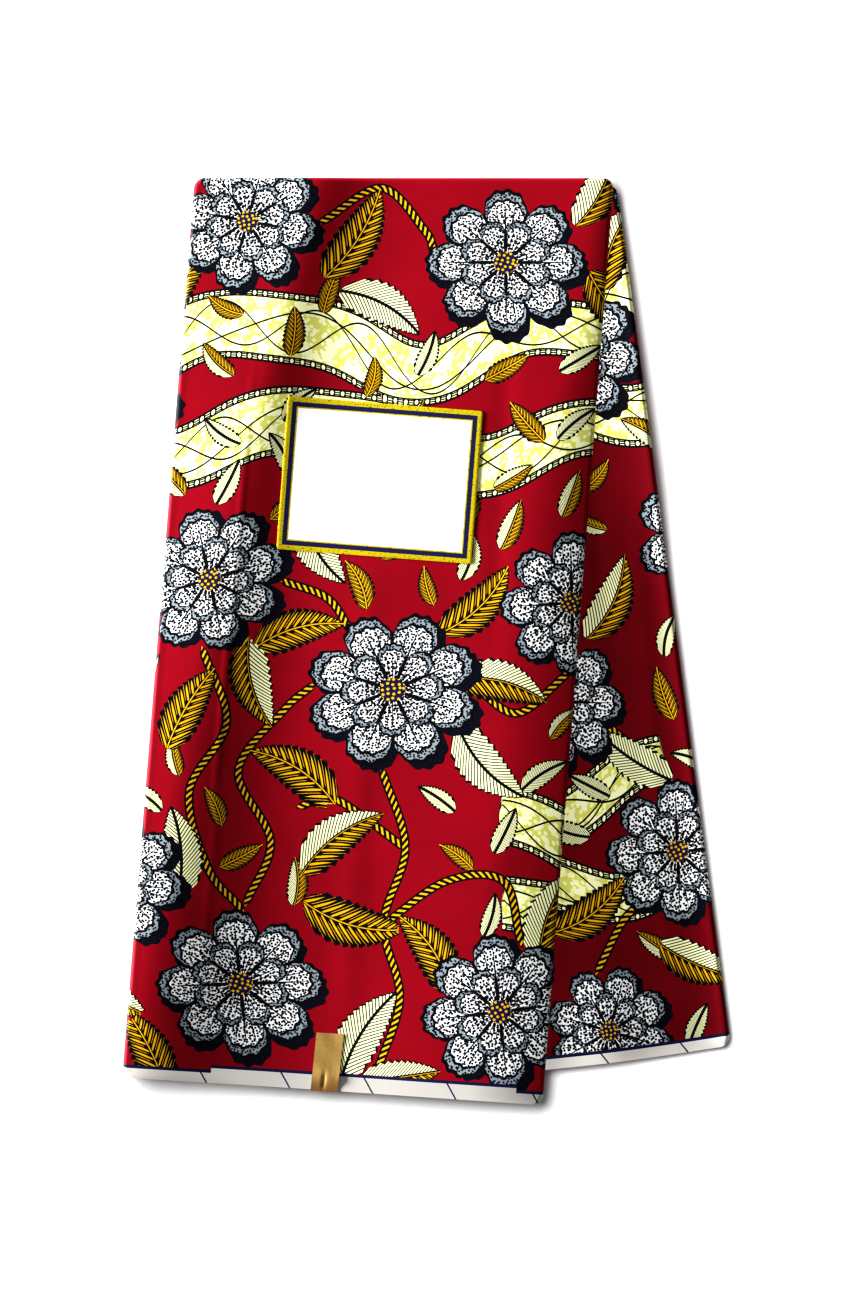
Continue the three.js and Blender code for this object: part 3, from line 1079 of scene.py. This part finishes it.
def makeLayers(group, name, node, material):
    detail = layerDetail
    made = bmesh.new()
    bmesh.ops.create_circle(made, segments=detail["segments"], radius=1)
    edge = list(made.edges)
    for level in range(1, detail["levels"] + 1):
        edge = growRim(made, edge, -level)
    bmesh.ops.recalc_face_normals(made, faces=made.faces)
    mesh, held = meshFrom(made, name)
    place = np.arctan2(held[:, 1], held[:, 0]) / (2 * math.pi) % 1
    down = -held[:, 2] / detail["levels"]
    u, v = edgeShares(place)
    s, t, x, y = placeIn(group, u, v, cloth["roll"])
    top = group["top"](s, t, x, y) - detail["under"] * ease(t, 0, cloth["corner"]) - detail["clear"]
    base = group["underside"](*placeIn(group, u, v, np.full_like(u, detail["footInset"])))
    begun, done = detail["ends"]
    hemShare = 1 - ease(t, begun, done)
    topShare = ease(t, group["length"] - done, group["length"] - begun)
    inset = np.zeros_like(u)
    most, together = detail["foldDepth"]
    for count, share in (
        (detail["sideFolds"], 1 - hemShare - topShare),
        (detail["topFolds"], topShare),
        (detail["hemEdges"], hemShare),
    ):
        fold = np.minimum(np.floor(down * count), count - 1)
        across = 2 * (down * count - fold) - 1
        bulge = 1 - np.sqrt(np.clip(1 - across * across, 0, 1))
        wander = detail["uneven"] * foldWander(group["seed"], fold, place)
        inset += share * (bulge * min(most, together / count) + wander)
    inset += detail["sideInset"] * between(1, detail["hemInset"], hemShare)
    _, _, x, y = placeIn(group, u, v, inset)
    points = np.stack((x, y, between(top, base, down)), axis=-1)
    spread = np.stack((place, 1 - down), axis=-1)[cornerVertices(mesh)].reshape(-1, 4, 2)
    crossing = (spread[:, :, 0].max(axis=1) - spread[:, :, 0].min(axis=1)) > 0.5
    spread[crossing, :, 0] += spread[crossing, :, 0] < 0.5      # faces where the outline closes
    setMap(mesh, spread * (detail["mapWidth"], 1))
    around = place * 2 * (cloth["panelWidth"] + group["length"])
    setPlaces(mesh, "edgePlace", "POINT", around, down, hemShare)
    return addPiece(name, mesh, points, material, "folded_cotton", node)


undersideDetail = {
    "columns": 60,
    "rows": 130,
    "turns": 4,
    "roll": 1.2,
    "inset": 1.0,
    "shift": 215,        # of its print from the top panel's
}


def makeUnderside(group, name, node, material):
    detail = undersideDetail
    roll, drawnIn = detail["roll"], detail["inset"]
    mesh, held = meshFrom(gridWithRims(detail["columns"], detail["rows"], detail["turns"]), name)
    mesh.flip_normals()
    u, v, rim = held.T
    turn = np.clip(rim / detail["turns"], 0, 1) * math.pi / 2
    crown = placeIn(group, u, v, roll + drawnIn)
    s, t, x, y = placeIn(group, u, v, drawnIn + roll * (1 - np.sin(turn)))
    height = group["underside"](*crown) + roll * (1 - np.cos(turn))
    layMap(mesh, held, detail["turns"])
    layPrint(mesh, s, t, group["shift"] + detail["shift"])
    points = np.stack((x, y, height), axis=-1)
    return addPiece(name, mesh, points, material, "printed_cotton", node)


foldedLook = {
    **printedLook,
    "roughness": 0.68,
    "streak": 24.0,        # millimetres of one colour along a fold, on average
    "likeness": 0.55,      # how fast the streaks change from ply to ply
    "detail": 0.5,
    "streaks": (           # what shows between two levels of the noise, on the red
        (0.18, 0.25, "gold"),
        (0.25, 0.265, "black"),
        (0.72, 0.73, "black"),
        (0.73, 0.8, "cream"),
    ),
}


def edgePrint():
    # what shows of the design on the folds: streaks along each, and bare selvedges at the hem
    tree, given, shown = newGroup("edgePrint", {"Place": "Vector", "Streak": "Float"}, {"Colour": "Color"})
    along, down, hem = partsOf(given["Place"])
    ply = calc("FLOOR", down * (2 * layerDetail["topFolds"] - 0.001))      # the foot is in the last ply
    streakPlace = flatVector(along / given["Streak"], ply * foldedLook["likeness"])
    pick = noise(streakPlace, 1.0, foldedLook["detail"])
    colour = palette["red"]
    for low, high, name in foldedLook["streaks"]:
        colour = blend(near(pick, (low + high) / 2, (high - low) / 2), colour, palette[name])
    feed(shown, {"Colour": blend(hem > 0.5, colour, palette["selvedge"])})
    return tree


def foldedCotton():
    made, tree, shader = newMaterial("foldedCotton")
    place = placeNode(tree, "edgePlace")
    colour = useGroup(tree, edgePrint(), Place=place, Streak=foldedLook["streak"])["Colour"]
    clothSurface(shader, foldedLook, colour, place)
    return made


printed = printedCotton()
folded = foldedCotton()
frontPanel = makePanel(front, "front_panel_cloth", "front_panel", printed)
rearPanel = makePanel(rear, "rear_panel_cloth", "rear_panel", printed)
print("panels made")

frontLayers = makeLayers(front, "front_fold_edges", "front_layers", folded)
rearLayers = makeLayers(rear, "rear_fold_edges", "rear_layers", folded)
frontUnder = makeUnderside(front, "front_lowest_panel", "front_layers", printed)
rearUnder = makeUnderside(rear, "rear_lowest_panel", "rear_layers", printed)
print("hidden panels made")


label = {
    "centre": (-30.2, 103.0),
    "width": 125.0,
    "height": 98.0,
    "turn": -4.4,
    "corner": 1.5,
    "columns": 84,
    "rows": 66,
    "clear": 0.3,       # over the cloth
    "thick": 0.12,
    # inset, drop and depth in the paper's grain, of the face and then of each rim
    "rims": ((0.05, 0, 0), (0, 0.02, 0.05), (0, 0.12, 0.05), (0.5, 0.12, 0.6)),
}


def sharesAt(group, x, y, rounds=12):
    # the shares across and up whose place, not drawn in, is (x, y)
    u, v = np.full_like(x, 0.5), np.full_like(x, 0.5)
    down, across = group["topLeft"] - group["hemLeft"], group["hemRight"] - group["hemLeft"]
    spread = across[0] * down[1] - across[1] * down[0]
    for _ in range(rounds):
        _, _, nowX, nowY = placeIn(group, u, v, 0.0)
        awayX, awayY = x - nowX, y - nowY
        u = u + (awayX * down[1] - awayY * down[0]) / spread
        v = v + (across[0] * awayY - across[1] * awayX) / spread
    return u, v


def heightAt(group, x, y):
    s, t, _, _ = placeIn(group, *sharesAt(group, x, y), 0.0)
    return group["top"](s, t, x, y)


def makeLabel(material):
    rims = len(label["rims"]) - 1
    mesh, held = meshFrom(gridWithRims(label["columns"], label["rows"], rims), "front_paper_label")
    u, v, rim = held.T
    width, height = label["width"], label["height"]
    inset, drop, edge = np.array(label["rims"])[rim.astype(int)].T
    s, t = roundCorners(u * width, v * height, width, height, label["corner"])
    across = (s - width / 2) * (1 - 2 * inset / width)
    along = (t - height / 2) * (1 - 2 * inset / height)
    turn = math.radians(label["turn"])
    x = label["centre"][0] + across * math.cos(turn) - along * math.sin(turn)
    y = label["centre"][1] + across * math.sin(turn) + along * math.cos(turn)
    points = np.stack((x, y, heightAt(front, x, y) + label["clear"] + label["thick"] - drop), axis=-1)
    layMap(mesh, held, rims)
    setPlaces(mesh, "labelPlace", "POINT", across, along, edge)
    return addPiece("front_paper_label", mesh, points, material, "label_paper", "paper_label")


labelLook = {
    "foil": (0.56, 0.46, 0.02),
    "paintedReflectionFoil": 0.35,              # times that: painted dark reflections, in patches of its grain
    "grain": (0.9, 4.0, 0.6),
    "paper": (0.86, 0.86, 0.85),
    "bands": (3.2, 6.1, 7.0),      # outer foil, navy, inner foil: how far each reaches in
    "metallic": 0.2,
    "roughness": (0.46, -0.1),     # of the paper, and what foil adds
    "specular": 0.3,
    "fibres": (0.7, 6.0),
    "bump": (0.3, 0.00005),
}


def labelPaperLook():
    look = labelLook
    made, tree, shader = newMaterial("labelPaper")
    place = placeNode(tree, "labelPlace")
    across, along, _ = partsOf(place)
    inwards = calc("MINIMUM", label["width"] / 2 - abs(across), label["height"] / 2 - abs(along))
    outer, navy, inner = (inwards < reach for reach in look["bands"])
    scale, detail, level = look["grain"]
    paintedDarkReflection = tuple(look["paintedReflectionFoil"] * part for part in look["foil"])
    # painted reflection: dark patches in the foil
    foil = blend(noise(place, scale, detail) > level, look["foil"], paintedDarkReflection)
    colour = blend(navy, blend(inner, look["paper"], foil), palette["navy"])
    isFoil = largest(outer, inner - navy)
    roughness, added = look["roughness"]
    feed(shader, {
        "Base Color": blend(outer, colour, foil),
        "Metallic": isFoil * look["metallic"],
        "Roughness": isFoil * added + roughness,
        "Specular IOR Level": look["specular"],
    })
    addBump(shader, noise(place, *look["fibres"]), *look["bump"])
    return made


paperLabel = makeLabel(labelPaperLook())
print("label made")


seal = {
    "fromLeft": 128.5,
    "width": 17.2,
    "length": 37.3,
    "tail": 4.0,
    "lean": 1.4,            # degrees from the panel's own side
    "rows": (30, 4, 12, 3, 4),    # on top, over the edge, down, under the edge, along the underside
    "columns": 16,
    "edgeRadius": 0.9,
    "clear": 0.35,
    "thick": 0.12,
    "swell": (1.0, 8.5, 4.2),     # height, place and reach of the swell before the fold
    "pinch": (-1.0, 6.5, 0.9, 4.5, 0.9),    # across, up, half width, half length and depth of a dent
    "wrinkles": (0.12, 2.6, 5, 7.3),        # height, and reach across and, twice, along
}


def sealPath():
    # how far up the panel, how far round the edge, and how far down each row of the seal lies
    top, over, down, under, tail = seal["rows"]
    radius = seal["edgeRadius"]
    path = [(seal["length"] * (1 - k / top), 0, 0) for k in range(top + 1)]
    for k in range(1, over + 1):
        turn = math.pi / 2 * k / over
        path.append((-radius * math.sin(turn), radius * (1 - math.cos(turn)), 0))
    path += [(-radius, radius, k / down) for k in range(1, down + 1)]
    for k in range(1, under + 1):
        turn = math.pi / 2 * k / under
        path.append((-radius * math.cos(turn), radius * (1 + math.sin(turn)), 1))
    path += [(seal["tail"] * k / tail, 2 * radius, 1) for k in range(1, tail + 1)]
    return np.array(path, float)


def sealTop(fromMiddle, t, down):
    # how far the foil stands above its even course: the swell, the dent and the wrinkles
    swell, place, reach = seal["swell"]
    dentAcross, dentUp, dentWidth, dentLength, dentDepth = seal["pinch"]
    dent = np.exp(-(((fromMiddle - dentAcross) / dentWidth) ** 2) - ((t - dentUp) / dentLength) ** 2)
    height, across, along, alone = seal["wrinkles"]
    raised = swell * np.exp(-(((t - place) / reach) ** 2)) * (1 - down) - dentDepth * dent
    return raised + height * np.sin(fromMiddle / across + t / along) * np.sin(t / alone)


def makeSeal(material):
    path = sealPath()
    made = bmesh.new()
    bmesh.ops.create_grid(made, x_segments=seal["columns"], y_segments=len(path) - 1, size=0.5)
    bmesh.ops.translate(made, verts=made.verts, vec=(0.5, 0.5, 0))
    for edge in made.edges:
        edge.smooth = not edge.is_boundary     # the foil's cut edges stay crisp
    mesh, held = meshFrom(made, "gold_foil_seal")
    row = np.round((1 - held[:, 1]) * (len(path) - 1)).astype(int)
    t, bend, down = path[row].T
    fromMiddle = (held[:, 0] - 0.5) * seal["width"]
    s = seal["fromLeft"] + fromMiddle + t * math.tan(math.radians(seal["lean"]))
    u, v = s / cloth["panelWidth"], t / front["length"]
    _, _, x, y = placeIn(front, u, v, 0.0)
    onTop = placeIn(front, u, np.maximum(v, 0), 0.0)
    high = frontTop(*onTop) + seal["clear"] + sealTop(fromMiddle, t, down)
    low = frontUnderside(*onTop) - seal["clear"]
    radius = seal["edgeRadius"]
    overEdge = between(high - radius, low + radius, down) - np.maximum(bend - radius, 0)
    points = np.stack((x, y, np.where(down > 0, overEdge, high - bend)), axis=-1)
    setMap(mesh, held[cornerVertices(mesh), :2])
    setPlaces(mesh, "sealPlace", "POINT", fromMiddle, t, down)
    piece = addPiece("gold_foil_seal", mesh, points, material, "gold_foil", "foil_seal")
    wall = piece.modifiers.new("foilThickness", "SOLIDIFY")
    wall.thickness = seal["thick"] * mm
    wall.offset = -1
    return piece


sealLook = {
    "foil": (0.5, 0.345, 0.14),
    # the foil's colour in its painted shade by the fold
    "paintedShadeFoil": (0.34, 0.2, 0.08),
    "fold": (7.5, 0.5),            # millimetres up where painted shade darkens the foil towards its fold
    "worn": (0.5, 5.0, 0.85, 0.3),    # scale, detail, least and range of the tone
    "metallic": 0.55,
    "roughness": (0.2, 0.2),       # the least, and times the tone
    "grain": (0.45, 4.0),
    "bump": (0.4, 0.0001),
}


def goldFoilLook():
    look = sealLook
    made, tree, shader = newMaterial("goldFoil")
    place = placeNode(tree, "sealPlace")
    start, end = look["fold"]
    inputs = {"Value": partsOf(place)[1], "From Min": start, "From Max": end, "To Min": 0.0, "To Max": 1.0}
    # painted shade: the foil darkens where it turns over the edge
    paintedShadeNearFold = newNode(tree, "MapRange", inputs, interpolation_type="SMOOTHSTEP")[0]
    scale, detail, least, span = look["worn"]
    worn = noise(place, scale, detail) * span + least
    roughness, added = look["roughness"]
    feed(shader, {
        "Base Color": scaled(blend(paintedShadeNearFold, look["foil"], look["paintedShadeFoil"]), worn),
        "Metallic": look["metallic"],
        "Roughness": worn * added + roughness,
    })
    addBump(shader, noise(place, *look["grain"]), *look["bump"])
    return made


foilSeal = makeSeal(goldFoilLook())
print("seal made")


studio = {
    "centre": (0.0032, -0.0043),
    "viewHeight": 0.8294,      # metres of floor from the top of the picture to its bottom
    "viewPlane": 0.015,        # the height at which that is measured
    "lens": 200,
    "sensor": 36,
    "floorSize": 6,
    "floor": (0.56, 0.56, 0.56),
    "floorRoughness": 0.9,
    "floorSpecular": 0.1,
    "skyLight": 0.27,
}

# Lights: turn towards the hem and elevation in degrees, distance, width and height in metres, watts
lights = {
    "keyLight": (-10, 8, 6, 4.3, 1.12, 2480),
    "rearKeyLight": (-10, 11.5, 6, 4.3, 1.7, 980),
    "edgeLight": (-30, 35, 4, 3.0, 2.0, 150),
    "floorLight": (-30, 66, 2.5, 1.5, 1.5, 97),
}


def addFloor():
    material, _, shader = newMaterial("paleFloor")
    feed(shader, {
        "Base Color": studio["floor"],
        "Roughness": studio["floorRoughness"],
        "Specular IOR Level": studio["floorSpecular"],
    })
    made = bmesh.new()
    bmesh.ops.create_grid(made, x_segments=1, y_segments=1, size=studio["floorSize"])
    mesh, _ = meshFrom(made, "floor")
    mesh.materials.append(material)
    floor = bpy.data.objects.new("floor", mesh)
    bpy.context.scene.collection.objects.link(floor)
    return floor


def collectionOf(name, objects):
    group = bpy.data.collections.new(name)
    for piece in objects:
        group.objects.link(piece)
    return group


def placeRound(turn, elevation, distance):
    # a place to the left, turned towards the hem by turn degrees and raised by elevation
    turn, elevation = math.radians(turn), math.radians(elevation)
    level = distance * math.cos(elevation)
    return (-level * math.cos(turn), -level * math.sin(turn), distance * math.sin(elevation))


def addLight(name, lit, blockers=()):
    turn, elevation, distance, width, height, power = lights[name]
    lamp = bpy.data.lights.new(name, "AREA")
    lamp.shape = "RECTANGLE"
    lamp.size, lamp.size_y = width, height
    lamp.energy = power
    holder = bpy.data.objects.new(name, lamp)
    holder.location = placeRound(turn, elevation, distance)
    holder.rotation_euler = (-holder.location).to_track_quat("-Z", "Y").to_euler()
    bpy.context.scene.collection.objects.link(holder)
    holder.light_linking.receiver_collection = collectionOf(name + "Lights", lit)
    if blockers:
        holder.light_linking.blocker_collection = collectionOf(name + "Stops", blockers)


def addCamera():
    lens = bpy.data.cameras.new("camera")
    lens.lens = studio["lens"]
    lens.sensor_width = studio["sensor"]
    camera = bpy.data.objects.new("camera", lens)
    height = studio["viewHeight"] * studio["lens"] / studio["sensor"] + studio["viewPlane"]
    camera.location = (*studio["centre"], height)
    bpy.context.scene.collection.objects.link(camera)
    bpy.context.scene.camera = camera


def addSky():
    world = bpy.data.worlds.new("studioWorld")
    world.use_nodes = True
    feed(world.node_tree.nodes["Background"].inputs, {"Color": (1, 1, 1), "Strength": studio["skyLight"]})
    bpy.context.scene.world = world


floor = addFloor()
addLight("keyLight", [frontPanel, paperLabel, foilSeal])
addLight("rearKeyLight", [rearPanel], [rearPanel])
addLight("edgeLight", [frontLayers, rearLayers, frontUnder, rearUnder])
addLight("floorLight", [floor])
addCamera()
addSky()
bpy.context.scene.view_settings.view_transform = "Standard"
bpy.context.scene.view_settings.look = "Very High Contrast"
print("studio set")
